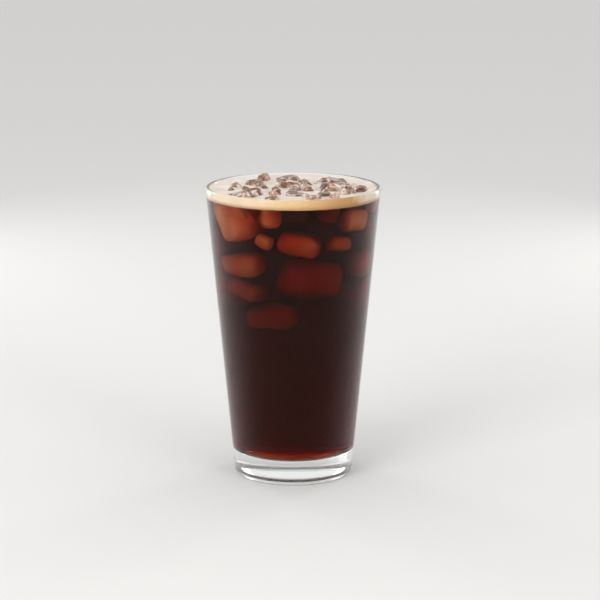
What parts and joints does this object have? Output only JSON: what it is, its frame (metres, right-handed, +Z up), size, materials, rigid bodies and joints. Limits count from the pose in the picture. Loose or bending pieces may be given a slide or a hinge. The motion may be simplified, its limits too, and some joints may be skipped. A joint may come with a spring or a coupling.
{
  "type": "iced americano in a glass",
  "caption": "Tapered thick-based pint glass filled nearly to the brim with black coffee, topped by a layer of pale crema with melting ice blocks standing through it.",
  "frame": {"origin": "centre of the glass's foot, on the surface it stands on", "axes": "+Z up along the glass's axis, -Y towards the viewer of the picture, +X to the viewer's right"},
  "size_m": [0.0886, 0.0886, 0.1518],
  "materials": {
    "clear_glass": "clear polished pressed glass",
    "black_coffee": "still black coffee, red-brown where thin",
    "coffee_crema": "fine cream to golden coffee foam",
    "clear_ice": "wet melting ice, clear with a cloudy heart"
  },
  "bodies": {
    "root": {"glass": "clear_glass", "coffee": "black_coffee", "crema": "coffee_crema", "ice_left": "clear_ice", "ice_front_left": "clear_ice", "ice_front_middle": "clear_ice", "ice_front_right": "clear_ice", "ice_chip": "clear_ice", "ice_middle": "clear_ice", "ice_right": "clear_ice", "ice_right_edge": "clear_ice", "ice_back_left": "clear_ice", "ice_back": "clear_ice", "ice_back_right": "clear_ice"}
  },
  "joints": []
}
